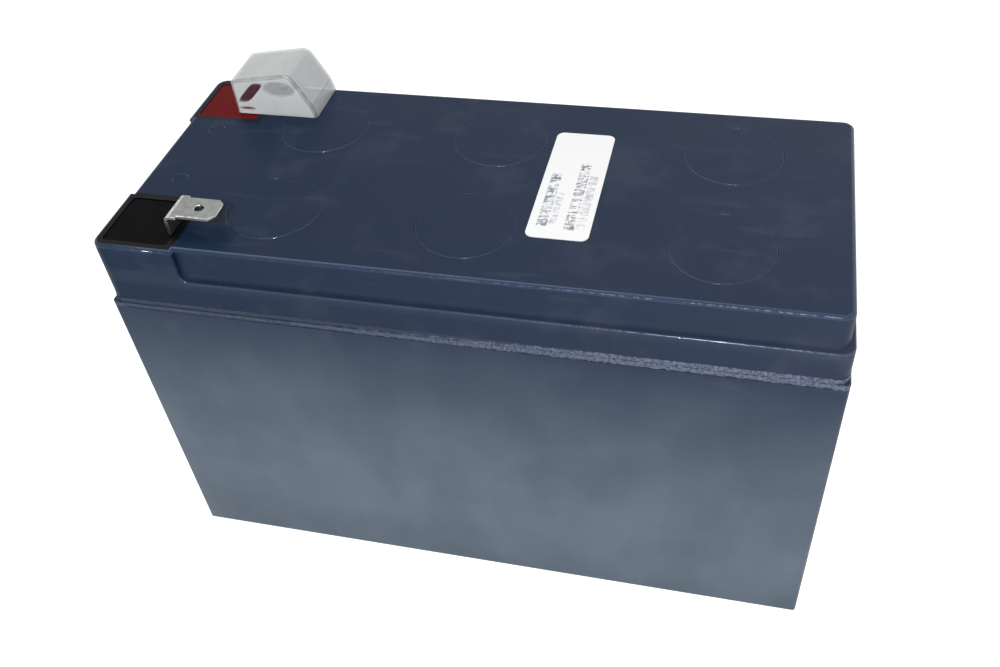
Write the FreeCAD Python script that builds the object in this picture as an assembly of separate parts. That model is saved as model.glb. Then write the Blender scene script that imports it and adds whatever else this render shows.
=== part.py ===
"""Sealed 12 V lead-acid battery of a UPS battery cartridge, in millimetres.

X runs along the case and +X points away from the terminals, -Y is the front long side and +Z is up.
The origin is the middle of the underside. Cells 1, 2, 3 stand in the front row from the terminal end,
and 4, 5, 6 come back along the rear row, so that cell 1 has the negative post and cell 6 the positive.
"""
import FreeCAD, Part
import math
import os

V = FreeCAD.Vector

# Case
case_length = 151.0
case_width = 65.0
case_height = 93.5            # floor to the top of the lid panel
container_draft = 0.15        # how much narrower each side is at the bottom
container_wall = 2.5
container_floor = 2.4
cell_wall = 1.6
container_corner_radius = 1.0
bottom_chamfer = 0.4

# Joint of lid and container
rim_height = 78.0             # top of the container's wall
seam_gap = 0.4                # resin between the rim and the lid
tongue_width = 0.8
tongue_height = 1.6
groove_clearance = 0.2
squeeze_band_height = 2.5     # resin that shows outside, half above and half below the rim
squeeze_band_depth = 0.25     # its thickness below the rim
squeeze_band_proud = 0.1      # how far it stands out from the lid above the rim

# Lid
lid_corner_radius = 3.0
lid_setback = 0.25            # how far the lid's lower edge lies inside the container's rim
lid_wall = 2.3
roof_thickness = 2.2
ledge_depth = 7.9             # panel top to the ledge round it
panel_inset = 1.4             # panel edge inside the case outline, on the long sides and far end
panel_end_inset = 1.2         # the same between the terminal blocks
panel_corner_radius = 2.5
panel_edge_radius = 0.8
dimple_x = 9.1                # moulding dimples between the blocks, from the short side
dimple_from_block = 4.8       # dimple's middle to the side of the block
dimple_shift = 1.4            # both of them, towards the rear
dimple_diameter = 3.6
dimple_depth = 0.2
block_length = 18.6           # terminal block along X
block_width = 18.1            # from the long side
block_foot_radius = 1.6

# Terminal pockets
pocket_end_margin = 2.0       # rim between the pocket and the short side
pocket_side_margin = 2.3      # rim between the pocket and the long side
pocket_length = 14.7
pocket_width = 14.2
pocket_depth = 6.5
pocket_corner_radius = 0.8
pocket_floor = 1.8
seal_level = 0.25             # surface of the resin below the panel

# Blades
blade_width = 6.35
blade_neck_width = 7.4        # wider neck that stops the plug
blade_thickness = 0.8
blade_height = 4.4            # top of the blade above the panel
blade_reach = 11.1            # riser to tip
blade_bend_radius = 0.7       # inside radius
blade_neck_length = 2.9       # from the riser to the shoulders
blade_hole_diameter = 2.0
blade_hole_from_tip = 4.6
blade_tip_chamfer = 1.3
blade_foot_length = 8.4
blade_inset = 9.6             # middle of the blade from the long side
riser_x = 15.4                # outer face of the riser from the short side

# Posts
post_diameter = 4.2
post_from_end = 9.0           # post axis from the short side
post_fit = 0.15
post_proud = 1.2              # post above the blade's foot

# Vents
vent_offsets = (7.8, -0.2, 0.6)    # vents of the three columns along X from the cells' middles
vent_inset = 0.2              # vents nearer the middle line than the cells' middles
vent_cover_diameter = 20.5
vent_cover_thickness = 1.5
vent_cover_clearance = 0.1
well_side = 14.2              # square room round each valve
well_depth = 9.4
well_wall = 1.6
well_floor = 1.6
neck_diameter = 7.6
neck_bore = 4.4
neck_height = 5.0             # above the well's floor
valve_wall = 1.3
valve_roof = 1.4
valve_fit = 0.1
valve_skirt_gap = 0.6         # open edge of the cap above the well's floor

# Terminal hood
hood_wall = 0.6
hood_start_x = 11.2           # its upright end from the short side
hood_length = 19.9
hood_end_height = 8.3         # height of the upright end above the panel
hood_peak_height = 10.7
hood_peak_setback = 4.9       # peak to the far end's foot
hood_knee_height = 3.0        # where the far end starts to lean in
hood_knee_setback = 0.7
hood_peak_radius = 2.4
hood_edge_radius = 0.7
hood_width = 13.3
hood_inset = 7.65             # middle of the hood from the long side

# Label
label_length = 36.2           # along Y
label_width = 12.6
label_thickness = 0.15
label_x = 18.2
label_y = 1.0
label_corner_radius = 1.6

# Plates
positive_plate_thickness = 3.0
negative_plate_thickness = 1.8
positive_plate_count = 4
plate_side_gap = 2.3          # plates to the cell's walls on each side
plate_drop = 10.6             # top of the positive plates below the rim
mat_overhang = 1.2            # mat beyond the plates, on each side and at the top
stack_play = 0.2
lug_width = 7.0
lug_inset = 3.0               # lug from the plate's edge
lug_height = 3.6
strap_thickness = 3.0
strap_overhang = 1.2
link_width = 10.0             # bar over the wall between two cells, and the lugs beside it
link_lug_thickness = 2.4
link_cover = 0.6              # resin over the bar, up to the rim

# Places that follow from the sizes above
end_x = case_length / 2
side_y = case_width / 2
lid_base = rim_height + seam_gap
ledge_height = case_height - ledge_depth
roof_height = case_height - roof_thickness
inner_length = case_length - 2 * container_wall
inner_width = case_width - 2 * container_wall
cell_length = (inner_length - 2 * cell_wall) / 3
cell_width = (inner_width - cell_wall) / 2
cell_pitch_x = cell_length + cell_wall
cell_y = (cell_width + cell_wall) / 2
block_inner_edge = side_y - block_width
dimple_y = block_inner_edge - dimple_from_block
blade_y = side_y - blade_inset
hood_y = side_y - hood_inset
vent_columns = [column * cell_pitch_x + vent_offsets[column + 1] for column in (-1, 0, 1)]
vent_y = cell_y - vent_inset
pocket_bottom = case_height - pocket_depth
well_bottom = case_height - well_depth
neck_top = well_bottom + neck_height
blade_top = case_height + blade_height
plate_width = cell_length - 2 * plate_side_gap
negative_plate_count = positive_plate_count + 1
stack_depth = cell_width - stack_play
mat_thickness = (
    stack_depth
    - positive_plate_count * positive_plate_thickness
    - negative_plate_count * negative_plate_thickness
) / (2 * positive_plate_count)
plate_bottom = container_floor + mat_thickness
plate_top = rim_height - plate_drop
plate_height = plate_top - plate_bottom
strap_bottom = plate_top + lug_height
link_top = rim_height - link_cover


def box(x0, x1, y0, y1, z0, z1):
    """Block between two opposite corners, in any order."""
    corner = V(min(x0, x1), min(y0, y1), min(z0, z1))
    return Part.makeBox(abs(x1 - x0), abs(y1 - y0), abs(z1 - z0), corner)


def centred_box(length, width, x, y, z0, z1):
    """Block about (x, y)."""
    return box(x - length / 2, x + length / 2, y - width / 2, y + width / 2, z0, z1)


def rod(radius, x, y, z0, z1):
    """Upright cylinder."""
    return Part.makeCylinder(radius, z1 - z0, V(x, y, z0))


def round_wire(length, width, radius, x, y, z):
    """Rectangle with round corners about (x, y), at height z."""
    a = length / 2 - radius
    b = width / 2 - radius
    edges = []
    turns = ((a, -b, -90), (a, b, 0), (-a, b, 90), (-a, -b, 180))
    for corner_x, corner_y, start in turns:
        centre = V(x + corner_x, y + corner_y, z)
        arc = Part.makeCircle(radius, centre, V(0, 0, 1), start, start + 90)
        if edges:
            edges.append(Part.makeLine(last_point, arc.firstVertex().Point))
        edges.append(arc)
        last_point = arc.lastVertex().Point
    edges.append(Part.makeLine(last_point, edges[0].firstVertex().Point))
    return Part.Wire(Part.__sortEdges__(edges))


def round_block(length, width, radius, x, y, z0, z1):
    """Upright block with round vertical corners."""
    face = Part.Face(round_wire(length, width, radius, x, y, z0))
    return face.extrude(V(0, 0, z1 - z0))


def lies_at(edge, height):
    """True for an edge that is all at one height."""
    bounds = edge.BoundBox
    return abs(bounds.ZMin - height) < 1e-4 and abs(bounds.ZMax - height) < 1e-4


def cell_place(cell):
    """Column (-1, 0, 1) and row (-1 front, 1 rear) of cells 1 to 6."""
    if cell <= 3:
        return cell - 2, -1
    return 5 - cell, 1


def cell_centre(cell):
    """Middle of a cell in plan."""
    column, row = cell_place(cell)
    return column * cell_pitch_x, row * cell_y


def cell_wall_strips(z0, z1):
    """The long middle wall and the two cross walls between the cells."""
    half_wall = cell_wall / 2
    strips = box(-inner_length / 2, inner_length / 2, -half_wall, half_wall, z0, z1)
    for side in (-1, 1):
        x = side * cell_pitch_x / 2
        strips = strips.fuse(box(x - half_wall, x + half_wall, -inner_width / 2, inner_width / 2, z0, z1))
    return strips


def case_outline(depth, radius, z0, z1):
    """Block inside the case outline by depth, where radius is the outline's own corner."""
    return round_block(case_length - 2 * depth, case_width - 2 * depth, radius - depth, 0, 0, z0, z1)


def wall_ring(outer_depth, inner_depth, radius, z0, z1):
    """Ring between two depths inside the case outline."""
    return case_outline(outer_depth, radius, z0, z1).cut(case_outline(inner_depth, radius, z0, z1))


def bevelled_block(depth, z0, z1):
    """Block inside the case outline by depth, with bevels where the lid's round corners pass."""
    block = centred_box(case_length - 2 * depth, case_width - 2 * depth, 0, 0, z0, z1)
    bevel = (lid_corner_radius - depth) * (2 - math.sqrt(2))
    uprights = [edge for edge in block.Edges if edge.BoundBox.XLength + edge.BoundBox.YLength < 1e-4]
    return block.makeChamfer(bevel, uprights)


def joint_rib(clearance, z0, z1):
    """Rib that runs round in the middle of the container's wall, wider by clearance on each side."""
    depth = (container_wall - tongue_width) / 2
    outer = bevelled_block(depth - clearance, z0, z1)
    return outer.cut(bevelled_block(depth + tongue_width + clearance, z0, z1))


def tongue():
    """Rib on the rim that stands in the lid's groove."""
    return joint_rib(0, rim_height, rim_height + tongue_height)


def groove():
    """Space in the lid round the tongue."""
    return joint_rib(groove_clearance, lid_base, rim_height + tongue_height + groove_clearance)


def lower_band(outer_depth):
    """Band of resin at the outside of the joint, in the container's wall, from a depth inside it."""
    bottom = rim_height - squeeze_band_height / 2
    return wall_ring(outer_depth, squeeze_band_depth, container_corner_radius, bottom, rim_height)


def upper_band():
    """Band of resin at the outside of the joint, in the lid's wall."""
    return wall_ring(
        lid_setback - squeeze_band_proud,
        lid_setback + squeeze_band_proud,
        lid_corner_radius,
        rim_height,
        rim_height + squeeze_band_height / 2,
    )


def strap_offset():
    """Distance of a strap's middle from the cell's middle."""
    return plate_width / 2 - lug_inset - lug_width / 2


def cell_link_place(link):
    """Middle in plan of the bar from cell `link` to the next, and whether it lies along X."""
    x, y = cell_centre(link)
    next_x, next_y = cell_centre(link + 1)
    along_x = abs(next_x - x) > abs(next_y - y)
    if along_x:
        return (x + next_x) / 2, y, along_x
    return x + strap_offset(), (y + next_y) / 2, along_x


def link_notch(link, z0, z1):
    """Block across the wall between two cells, as wide as the bar."""
    x, y, along_x = cell_link_place(link)
    length = cell_wall if along_x else link_width
    width = link_width if along_x else cell_wall
    return centred_box(length, width, x, y, z0, z1)


def container_outside():
    """Block that is narrower at the bottom, with a chamfer round its base and round upright corners."""
    drafted = Part.makeWedge(
        -end_x + container_draft,
        0,
        -side_y + container_draft,
        -side_y,
        -end_x,
        end_x - container_draft,
        rim_height,
        side_y - container_draft,
        side_y,
        end_x,
    )
    drafted.rotate(V(0, 0, 0), V(1, 0, 0), 90)
    body = drafted.makeChamfer(bottom_chamfer, [edge for edge in drafted.Edges if lies_at(edge, 0)])
    uprights = [edge for edge in body.Edges if edge.BoundBox.ZLength > rim_height / 2]
    return body.makeFillet(container_corner_radius, uprights)


def make_container():
    """Box with six cells, a tongue on its rim and notches for the bars between cells."""
    body = container_outside()
    for cell in range(1, 7):
        x, y = cell_centre(cell)
        body = body.cut(centred_box(cell_length, cell_width, x, y, container_floor, rim_height))
    body = body.fuse(tongue())
    body = body.cut(lower_band(-squeeze_band_depth))
    for link in range(1, 6):
        body = body.cut(link_notch(link, strap_bottom, rim_height))
    return body.removeSplitter()


def block_outline(row, margin, z0, z1):
    """Room that a terminal block takes up, out past the case by margin."""
    x1 = -end_x + block_length
    outer = row * (side_y + margin)
    inner = row * block_inner_edge
    return box(-end_x - margin, x1, outer, inner, z0, z1)


def panel_block():
    """Raised middle of the lid, above the ledge."""
    x0 = -end_x + panel_end_inset
    x1 = end_x - panel_inset
    width = case_width - 2 * panel_inset
    return round_block(x1 - x0, width, panel_corner_radius, (x0 + x1) / 2, 0, ledge_height, case_height)


def lid_recess():
    """What is cut off round the panel to leave the ledge, with a round foot at each block."""
    reach = block_foot_radius
    keep = panel_block()
    for row in (-1, 1):
        keep = keep.fuse(block_outline(row, reach, ledge_height, case_height))
    around = centred_box(case_length + 2 * reach, case_width + 2 * reach, 0, 0, ledge_height, case_height)
    recess = around.cut(keep)
    feet = []
    for edge in recess.Edges:
        bounds = edge.BoundBox
        along_y = bounds.YLength > reach and bounds.XLength < 1e-4
        if along_y and lies_at(edge, ledge_height) and abs(bounds.XMin + end_x - block_length) < 1e-3:
            feet.append(edge)
    return recess.makeFillet(block_foot_radius, feet)


def lid_outside():
    """Solid form of the lid: skirt, ledge, panel and terminal blocks."""
    body = case_outline(lid_setback, lid_corner_radius, lid_base, case_height)
    body = body.cut(lid_recess()).removeSplitter()
    return body.makeFillet(panel_edge_radius, [edge for edge in body.Edges if lies_at(edge, case_height)])


def lid_inside():
    """Hollow of the lid, below the ledge and below the roof of the panel."""
    lower = centred_box(inner_length, inner_width, 0, 0, lid_base, ledge_height - roof_thickness)
    x0 = -end_x + panel_end_inset + lid_wall
    x1 = end_x - panel_inset - lid_wall
    half_width = side_y - panel_inset - lid_wall
    return lower.fuse(box(x0, x1, -half_width, half_width, lid_base, roof_height))


def vent_places():
    """Middles of the six vents, in the order of the cells."""
    front = [(x, -vent_y) for x in vent_columns]
    rear = [(x, vent_y) for x in reversed(vent_columns)]
    return front + rear


def pocket_middle(row):
    """Middle of a terminal pocket in plan."""
    x = -end_x + pocket_end_margin + pocket_length / 2
    y = row * (side_y - pocket_side_margin - pocket_width / 2)
    return x, y


def pocket_space(row, z0, z1):
    """Room in a terminal pocket between two heights."""
    x, y = pocket_middle(row)
    return round_block(pocket_length, pocket_width, pocket_corner_radius, x, y, z0, z1)


def pocket_tub(row):
    """Solid block under the roof that a pocket is sunk in."""
    x, y = pocket_middle(row)
    length = pocket_length + 2 * lid_wall
    return centred_box(length, pocket_width + 2 * lid_wall, x, y, pocket_bottom - pocket_floor, roof_height)


def post_place(row):
    """Axis of a terminal post in plan."""
    return -end_x + post_from_end, row * blade_y


def lid_ribs():
    """Cell walls, square wells and pocket tubs that stand in the lid's hollow."""
    ribs = cell_wall_strips(lid_base, roof_height)
    well_outside = well_side + 2 * well_wall
    for x, y in vent_places():
        ribs = ribs.fuse(centred_box(well_outside, well_outside, x, y, well_bottom - well_floor, roof_height))
    for row in (-1, 1):
        ribs = ribs.fuse(pocket_tub(row))
    return ribs


def make_lid():
    """Lid with wells, pockets, ribs and the groove for the container's tongue."""
    hollow = lid_inside()
    body = lid_outside().cut(hollow)
    body = body.fuse(lid_ribs().common(hollow))
    for x, y in vent_places():
        cover_radius = vent_cover_diameter / 2 + vent_cover_clearance
        body = body.cut(rod(cover_radius, x, y, case_height - vent_cover_thickness, case_height))
        body = body.cut(centred_box(well_side, well_side, x, y, well_bottom, case_height))
        body = body.fuse(rod(neck_diameter / 2, x, y, well_bottom, neck_top))
        body = body.cut(rod(neck_bore / 2, x, y, well_bottom - well_floor, neck_top))
    for row in (-1, 1):
        x, y = post_place(row)
        body = body.cut(pocket_space(row, pocket_bottom, case_height))
        body = body.cut(rod(post_diameter / 2 + post_fit, x, y, pocket_bottom - pocket_floor, pocket_bottom))
        x = -end_x + dimple_x
        y = row * dimple_y + dimple_shift
        body = body.cut(rod(dimple_diameter / 2, x, y, case_height - dimple_depth, case_height))
    body = body.cut(groove())
    body = body.cut(upper_band())
    return body.removeSplitter()


def make_seam_sealant():
    """Resin in the groove, between rim and lid, over the cell walls and in the outer band."""
    sheet = case_outline(lid_setback, lid_corner_radius, rim_height, lid_base)
    sheet = sheet.cut(centred_box(inner_length, inner_width, 0, 0, rim_height, lid_base))
    body = sheet.fuse(cell_wall_strips(rim_height, lid_base))
    body = body.fuse(groove()).cut(tongue())
    body = body.fuse(lower_band(0)).fuse(upper_band())
    for link in range(1, 6):
        body = body.fuse(link_notch(link, link_top, rim_height))
    return body.removeSplitter()


def make_vent_cover(x, y):
    """Round disc, flush with the panel."""
    return rod(vent_cover_diameter / 2, x, y, case_height - vent_cover_thickness, case_height)


def make_vent_valve(x, y):
    """Rubber cap whose roof lies on the neck."""
    bore_radius = neck_diameter / 2 + valve_fit
    cap = rod(bore_radius + valve_wall, x, y, well_bottom + valve_skirt_gap, neck_top + valve_roof)
    return cap.cut(rod(bore_radius, x, y, well_bottom, neck_top))


def blade_strip():
    """Side outline of the bent blade, as a face in the XZ plane at y = 0."""
    outer = blade_bend_radius + blade_thickness
    x_riser = -end_x + riser_x
    x_foot = x_riser - outer - blade_foot_length
    x_tip = x_riser + blade_reach
    z_foot = pocket_bottom
    z_top = blade_top
    low_x = x_riser - blade_bend_radius
    low_z = z_foot + blade_thickness + blade_bend_radius
    high_x = x_riser + outer
    high_z = z_top - outer
    slant = math.sqrt(0.5)
    points = [
        V(x_foot, 0, z_foot),
        V(low_x, 0, z_foot),
        V(x_riser + blade_thickness, 0, low_z),
        V(x_riser + blade_thickness, 0, high_z),
        V(high_x, 0, z_top - blade_thickness),
        V(x_tip, 0, z_top - blade_thickness),
        V(x_tip, 0, z_top),
        V(high_x, 0, z_top),
        V(x_riser, 0, high_z),
        V(x_riser, 0, low_z),
        V(low_x, 0, z_foot + blade_thickness),
        V(x_foot, 0, z_foot + blade_thickness),
    ]
    bends = {
        1: V(low_x + outer * slant, 0, low_z - outer * slant),
        3: V(high_x - blade_bend_radius * slant, 0, high_z + blade_bend_radius * slant),
        7: V(high_x - outer * slant, 0, high_z + outer * slant),
        9: V(low_x + blade_bend_radius * slant, 0, low_z - blade_bend_radius * slant),
    }
    edges = []
    for index, point in enumerate(points):
        end = points[(index + 1) % len(points)]
        if index in bends:
            edges.append(Part.Arc(point, bends[index], end).toShape())
        else:
            edges.append(Part.makeLine(point, end))
    return Part.Face(Part.Wire(edges))


def make_blade(row):
    """Bent strip with a neck, a push-on blade with a hole, and a foot with a hole for its post."""
    strip = blade_strip().extrude(V(0, blade_neck_width, 0))
    strip.translate(V(0, row * blade_y - blade_neck_width / 2, 0))
    x_riser = -end_x + riser_x
    x_tip = x_riser + blade_reach
    x_shoulder = x_riser + blade_neck_length
    blade_bottom = blade_top - blade_thickness
    for direction in (-1, 1):
        y0 = row * blade_y + direction * blade_width / 2
        y1 = row * blade_y + direction * blade_neck_width / 2
        strip = strip.cut(box(x_shoulder, x_tip, y0, y1, blade_bottom, blade_top))
    tip_edges = []
    for edge in strip.Edges:
        bounds = edge.BoundBox
        if bounds.ZLength > blade_thickness / 2 and bounds.YLength < 1e-4 and abs(bounds.XMin - x_tip) < 1e-4:
            tip_edges.append(edge)
    strip = strip.makeChamfer(blade_tip_chamfer, tip_edges)
    hole_x = x_tip - blade_hole_from_tip
    strip = strip.cut(rod(blade_hole_diameter / 2, hole_x, row * blade_y, blade_bottom, blade_top))
    x_post, y_post = post_place(row)
    foot_top = pocket_bottom + blade_thickness
    return strip.cut(rod(post_diameter / 2 + post_fit, x_post, y_post, pocket_bottom, foot_top))


def make_post(row):
    """Lead post from the end strap up through the lid and the blade's foot."""
    x, y = post_place(row)
    post_top = pocket_bottom + blade_thickness + post_proud
    return rod(post_diameter / 2, x, y, strap_bottom + strap_thickness, post_top)


def make_seal(row, blade, post):
    """Resin poured round the blade's foot and the post, up to just below the panel."""
    x, y = post_place(row)
    fill = pocket_space(row, pocket_bottom, case_height - seal_level)
    rivet_hole = rod(post_diameter / 2 + post_fit, x, y, pocket_bottom, pocket_bottom + blade_thickness)
    return fill.cut(blade.fuse(post)).cut(rivet_hole).removeSplitter()


def hood_profile(inset):
    """Side outline of the hood, inside its outer one by inset, as a face at y = 0."""
    x0 = -end_x + hood_start_x
    x1 = x0 + hood_length
    points = [
        V(x0, 0, case_height),
        V(x0, 0, case_height + hood_end_height),
        V(x1 - hood_peak_setback, 0, case_height + hood_peak_height),
        V(x1 - hood_knee_setback, 0, case_height + hood_knee_height),
        V(x1, 0, case_height),
    ]
    outline = Part.makePolygon(points + points[:1])
    if inset:
        outline = outline.makeOffset2D(-inset, 2)
    return Part.Face(outline)


def hood_solid(inset):
    """Prism of the hood, inside its outer form by inset, with a round peak."""
    half_width = hood_width / 2 - inset
    body = hood_profile(inset).extrude(V(0, 2 * half_width, 0))
    body.translate(V(0, hood_y - half_width, 0))
    top = max(edge.BoundBox.ZMax for edge in body.Edges)
    peak_edges = [edge for edge in body.Edges if lies_at(edge, top)]
    return body.makeFillet(hood_peak_radius - inset, peak_edges)


def make_hood():
    """Thin cap with a sloping top, open below, that lies over the positive blade."""
    body = hood_solid(0)
    body = body.makeFillet(hood_edge_radius, [edge for edge in body.Edges if not lies_at(edge, case_height)])
    hollow = hood_solid(hood_wall)
    lower = hollow.copy()
    lower.translate(V(0, 0, -hood_wall))
    return body.cut(hollow.fuse(lower))


def make_label():
    """Sticker with round corners on the panel."""
    top = case_height + label_thickness
    return round_block(label_width, label_length, label_corner_radius, label_x, label_y, case_height, top)


def polarity_side(cell, positive):
    """Side of the cell (-1 or 1 along X) where a polarity's strap runs."""
    forward = 1 if cell <= 3 else -1
    return forward if positive else -forward


def plate_starts(positive):
    """Distances of a polarity's plates from the face of the stack."""
    step = positive_plate_thickness + negative_plate_thickness + 2 * mat_thickness
    if positive:
        first = negative_plate_thickness + mat_thickness
        return [first + index * step for index in range(positive_plate_count)]
    return [index * step for index in range(negative_plate_count)]


def link_lug(cell, positive):
    """Upright lug of a strap against the cell wall, and the tail that joins it to the strap."""
    x, y = cell_centre(cell)
    link_x, link_y, along_x = cell_link_place(cell if positive else cell - 1)
    half = link_width / 2
    strap_top = strap_bottom + strap_thickness
    if along_x:
        inward = 1 if x > link_x else -1
        wall_face = link_x + inward * cell_wall / 2
        lug_face = wall_face + inward * link_lug_thickness
        lug = box(wall_face, lug_face, y - half, y + half, strap_bottom, link_top)
        tail = box(wall_face, x - inward * strap_offset(), y - half, y + half, strap_bottom, strap_top)
    else:
        inward = 1 if y > link_y else -1
        wall_face = link_y + inward * cell_wall / 2
        lug_face = wall_face + inward * link_lug_thickness
        lug = box(link_x - half, link_x + half, wall_face, lug_face, strap_bottom, link_top)
        tail = box(link_x - half, link_x + half, wall_face, y, strap_bottom, strap_top)
    return lug.fuse(tail)


def make_plate_group(cell, positive):
    """Plates of one polarity with their lugs and the strap that is cast on them."""
    x, y = cell_centre(cell)
    thickness = positive_plate_thickness if positive else negative_plate_thickness
    bottom = plate_bottom if positive else container_floor
    top = bottom + plate_height
    lug_x = x + polarity_side(cell, positive) * strap_offset()
    stack_face = y - stack_depth / 2
    starts = plate_starts(positive)
    strap_length = lug_width + 2 * strap_overhang
    strap_width = starts[-1] - starts[0] + thickness
    strap_y = stack_face + starts[0] + strap_width / 2
    strap_top = strap_bottom + strap_thickness
    body = centred_box(strap_length, strap_width, lug_x, strap_y, strap_bottom, strap_top)
    for start in starts:
        plate_y = stack_face + start + thickness / 2
        plate = centred_box(plate_width, thickness, x, plate_y, bottom, top)
        lug = centred_box(lug_width, thickness, lug_x, plate_y, top, strap_bottom)
        body = body.fuse(plate).fuse(lug)
    has_link = cell < 6 if positive else cell > 1
    if has_link:
        body = body.fuse(link_lug(cell, positive))
    return body.removeSplitter()


def make_separators(cell):
    """Glass mats, each folded under one positive plate and up both its faces."""
    x, y = cell_centre(cell)
    half = plate_width / 2 + mat_overhang
    top = plate_top + mat_overhang
    mats = []
    for start in plate_starts(True):
        y0 = y - stack_depth / 2 + start
        y1 = y0 + positive_plate_thickness
        mat = box(x - half, x + half, y0 - mat_thickness, y1 + mat_thickness, container_floor, top)
        mats.append(mat.cut(box(x - half, x + half, y0, y1, plate_bottom, top)))
    return Part.makeCompound(mats)


def build_parts():
    """All pieces by name."""
    parts = {
        "container": make_container(),
        "lid": make_lid(),
        "seam_sealant": make_seam_sealant(),
        "terminal_hood": make_hood(),
        "label": make_label(),
    }
    for name, row in (("negative", -1), ("positive", 1)):
        blade = make_blade(row)
        post = make_post(row)
        parts[name + "_tab"] = blade
        parts[name + "_post"] = post
        parts[name + "_seal"] = make_seal(row, blade, post)
    for number, (x, y) in enumerate(vent_places(), 1):
        parts[f"vent_cover_{number}"] = make_vent_cover(x, y)
        parts[f"vent_valve_{number}"] = make_vent_valve(x, y)
        parts[f"positive_plates_{number}"] = make_plate_group(number, True)
        parts[f"negative_plates_{number}"] = make_plate_group(number, False)
        parts[f"separators_{number}"] = make_separators(number)
    for link in range(1, 6):
        parts[f"cell_link_{link}"] = link_notch(link, strap_bottom, link_top)
    return parts


os.makedirs("parts", exist_ok=True)
for part_name, shape in build_parts().items():
    shape.exportStep(f"parts/{part_name}.step")
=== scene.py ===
"""Finishes, resin, label print, hood and stage of a sealed 12 V battery for a backup power supply.

Laid out as an add-on and run as a script. Lengths in the settings are Blender units, metres, and
the finishes read Object coordinates in millimetres.
"""

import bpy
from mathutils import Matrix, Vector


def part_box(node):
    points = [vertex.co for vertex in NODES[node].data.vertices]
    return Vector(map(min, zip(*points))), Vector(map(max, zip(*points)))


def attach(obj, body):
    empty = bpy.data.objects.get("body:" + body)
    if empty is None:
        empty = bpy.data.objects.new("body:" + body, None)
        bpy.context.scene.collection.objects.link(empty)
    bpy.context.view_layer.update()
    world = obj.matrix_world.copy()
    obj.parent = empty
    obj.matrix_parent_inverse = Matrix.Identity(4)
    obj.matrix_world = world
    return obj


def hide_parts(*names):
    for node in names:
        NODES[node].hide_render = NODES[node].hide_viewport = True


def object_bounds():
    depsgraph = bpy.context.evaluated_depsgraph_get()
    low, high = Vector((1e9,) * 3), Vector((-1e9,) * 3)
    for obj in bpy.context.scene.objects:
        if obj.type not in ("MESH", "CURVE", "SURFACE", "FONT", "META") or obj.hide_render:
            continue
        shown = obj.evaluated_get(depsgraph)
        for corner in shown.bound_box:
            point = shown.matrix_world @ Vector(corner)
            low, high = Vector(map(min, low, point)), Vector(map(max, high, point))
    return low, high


bl_info = {
    "name": "Backup Power Battery",
    "version": (1, 0, 0),
    "blender": (4, 5, 0),
    "location": "View3D > Sidebar > Battery",
    "description": "Dresses a packed battery with its finishes, resin, label, hood and stage",
    "category": "Object",
}

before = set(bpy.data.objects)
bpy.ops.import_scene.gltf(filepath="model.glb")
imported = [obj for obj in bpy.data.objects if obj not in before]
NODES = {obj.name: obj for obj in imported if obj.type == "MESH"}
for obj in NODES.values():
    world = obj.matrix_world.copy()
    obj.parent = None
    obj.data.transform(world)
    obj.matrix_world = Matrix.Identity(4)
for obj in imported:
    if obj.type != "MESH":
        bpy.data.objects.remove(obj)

import math

import bmesh
import bpy
from bpy.props import FloatProperty, FloatVectorProperty, IntProperty, PointerProperty
from mathutils import Euler, Matrix, Vector, noise

CAD_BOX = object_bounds()
MM = 0.001
CELLS = range(1, 7)
CELL_LINKS = range(1, 6)
WHITE = (1, 1, 1, 1)
EDGE_SLOT = 1               # material slot of rounded edges
MIX_INPUTS = (0, 6, 7)      # a Mix node's amount and two colours
MIX_OUTPUT = 2              # and its colour

# Limits for meshes, in metres and radians
MERGE = 2e-6                # points nearer than this are one point
NEAR = 1e-5                 # play for a point on a level or an outline
FLAT = math.radians(0.5)    # faces that meet at less are one flat face
SHARP = math.radians(40)    # faces that meet at more have an edge to round
EDGE_STRIP = 0.00012        # area over perimeter of the hood's rounded strips, at most
FACING = 0.999              # a flat face's normal lies this much along an axis
LEANING = 0.1               # a rounded edge's normal rises or falls at least this much

# Broken skin of the joint's resin
SKIN_SPAN = 0.75            # share of the case's length over which it widens
CRUMB_LEAST = 0.2           # relief at the terminal end
CRUMB_GROWTH = 1.25         # how fast the relief grows along the case
COARSE_SHARE = 0.6
FINE_SHARE = 0.4
FINE_SCALE = 2.7
LIFT_SCALE = 1.3
LIFT_SHIFT = Vector((7, 3, 5))

# Finishes: shares of a colour or of an amount, and lengths in millimetres
RUB_AMOUNT = 0.07
SPECK_AMOUNT = 0.14
SMEARS = (("negative_seal", 1.0), ("positive_seal", 0.6))
SMEAR_BLUR = 0.3
TOP_PLAY = 0.3              # how far below the lid's top a point still counts as on it
FLOOR_LIGHT_CURVE = 2.0           # power of the height that thins the painted floor light on the container
SKIN_PLAY = 0.6             # skin beyond the half height of the band
CRUMB_SPECK = 0.6           # a pale speck's share of a crumb
HOOD_FRONT = (0.8, 1.4)     # from the front face, where the clearer patches fade out
INK_AMOUNT = 0.95
DULL_TIN = 0.72
RESIN_DUST = 0.08           # how much paler dust makes the resin
DARK_GRAIN = 0.6

# Printed fields of the label: left, right, start and end as shares of it, and how dark the ink is
FIELDS = (
    (0.13, 0.30, 0.42, 0.90, 0.95),
    (0.32, 0.43, 0.60, 0.88, 0.45),
    (0.57, 0.74, 0.30, 0.92, 0.95),
    (0.76, 0.90, 0.42, 0.90, 0.50),
)
# Clearer patches of the hood's front: middle along and up from its low corner, half sizes, lean,
# sharpness, how much milk is left, and whether the red of the resin seen through them is painted in
PATCHES = (
    (4.5, 5.5, 1.5, 2.5, 0.95, 4.0, 0.70, True),
    (2.9, 1.4, 1.9, 0.35, 0.0, 2.0, 0.70, True),
    (11.8, 6.8, 3.9, 1.9, 0.0, 2.0, 0.42, False),
)

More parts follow.
